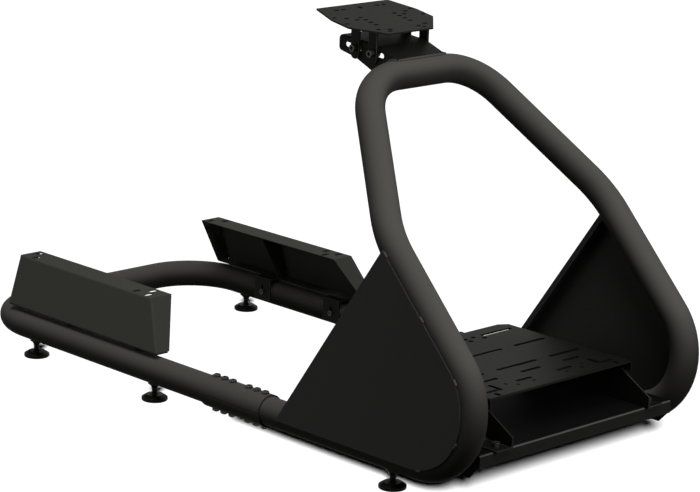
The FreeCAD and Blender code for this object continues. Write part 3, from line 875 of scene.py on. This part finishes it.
back = Vector((math.cos(camera_elevation) * math.cos(camera_azimuth),
               -math.cos(camera_elevation) * math.sin(camera_azimuth),
               math.sin(camera_elevation)))
level = Vector((0, 0, 1)).cross(back).normalized()
upright = back.cross(level)
across = math.cos(camera_roll) * level + math.sin(camera_roll) * upright
rise = math.cos(camera_roll) * upright - math.sin(camera_roll) * level
camera_turn = Matrix((across, rise, back)).transposed().to_4x4()
camera_data = bpy.data.cameras.new("photo_camera")
camera_data.lens = camera_lens
camera_data.sensor_width = camera_sensor
camera_data.sensor_fit = "HORIZONTAL"
camera = bpy.data.objects.new("photo_camera", camera_data)
bpy.context.collection.objects.link(camera)
camera.matrix_world = Matrix.Translation(camera_target + back * camera_distance) @ camera_turn
bpy.context.scene.camera = camera


# 1 where the eye, a reflection or glass looks, 0 for light that bounces
def sight(graph):
    eye, gloss, glass = [graph.node("ShaderNodeLightPath", output=ray)
                         for ray in ("Is Camera Ray", "Is Glossy Ray", "Is Transmission Ray")]
    return eye.highest(gloss).highest(glass)


# Pale floor: white to the eye and in gloss, with next to no bounce, so that undersides stay dark
floor_width = 40.0
floor_dark = tint(0.02, 0.02, 0.02)
floor_white = tint(0.92, 0.92, 0.92)
floor_object = begin("studio_floor", bpy.ops.mesh.primitive_plane_add, size=floor_width)
bpy.ops.mesh.subdivide(number_cuts=3)
leave()
floor_finish = Finish("studio_floor_white")
floor_colour = floor_finish.blend(sight(floor_finish), floor_dark, floor_white)
paint(floor_object, floor_finish.dress(Base_Color=floor_colour, Roughness=0.9, Specular_IOR_Level=0.0))

# What each lamp lights, and the low pieces that throw the contact shadow on the floor
low_words = ("tray_base", "pad", "stem", "side_tube_right")
floor_only = bpy.data.collections.new("floor_only")
floor_only.objects.link(floor_object)
part_only = bpy.data.collections.new("part_only")
low_pieces = bpy.data.collections.new("low_pieces")
for piece in bpy.context.scene.objects:
    if piece.type == "MESH" and piece != floor_object:
        part_only.objects.link(piece)
        if any(word in piece.name for word in low_words):
            low_pieces.objects.link(piece)

# Soft studio light. Angles are in degrees, round from +X and up from the floor.
softbox_aim = Vector((0.2, 0.0, 0.35))
softbox_distance = 1.7
softbox_width = 1.1


def hang(lamp, receivers, azimuth, elevation, aim, distance):
    holder = bpy.data.objects.new(lamp.name, lamp)
    bpy.context.collection.objects.link(holder)
    turn = math.radians(azimuth)
    lift = math.radians(elevation)
    direction = Vector((math.cos(lift) * math.cos(turn), math.cos(lift) * math.sin(turn), math.sin(lift)))
    facing_aim = direction.to_track_quat("Z", "Y").to_matrix().to_4x4()
    holder.matrix_world = Matrix.Translation(aim + direction * distance) @ facing_aim
    holder.light_linking.receiver_collection = receivers
    return holder


def far_softbox(name, receivers, azimuth, elevation, spread, strength):
    lamp = bpy.data.lights.new(name, "SUN")
    lamp.angle = math.radians(spread)
    lamp.energy = strength
    return hang(lamp, receivers, azimuth, elevation, Vector(), 0)


def near_softbox(name, azimuth, elevation, power):
    lamp = bpy.data.lights.new(name, "AREA")
    lamp.shape = "DISK"
    lamp.size = softbox_width
    lamp.energy = power
    holder = hang(lamp, part_only, azimuth, elevation, softbox_aim, softbox_distance)
    holder.visible_camera = False
    return holder


# The floor's lamp stands on the camera's side, so that the shadow stays close under the part
floor_softbox = far_softbox("floor_softbox", floor_only, 315.4, 26.0, spread=11.0, strength=8.7)
floor_softbox.light_linking.blocker_collection = low_pieces
far_softbox("overhead_softbox", part_only, 300.0, 75.0, spread=30.0, strength=1.2)

# Near lamps light the hoop more than the rear
near_softbox("front_softbox", 350.0, 45.0, power=7.2)
near_softbox("corner_softbox", 6.0, 22.0, power=6.4)
near_softbox("side_softbox", 248.0, 9.0, power=2.8)
rear_softbox = near_softbox("rear_softbox", 135.0, 6.0, power=6.5)
rear_softbox.visible_glossy = False

# White backdrop for the eye and in gloss, which adds no other light
world = bpy.data.worlds.new("studio_air")
world.use_nodes = True
air = Graph(world.node_tree)
backdrop = world.node_tree.nodes["Background"]
air.feed(backdrop.inputs["Color"], tint(1.0, 1.0, 1.0))
air.feed(backdrop.inputs["Strength"], sight(air))
bpy.context.scene.world = world

bpy.context.scene.view_settings.view_transform = "Standard"
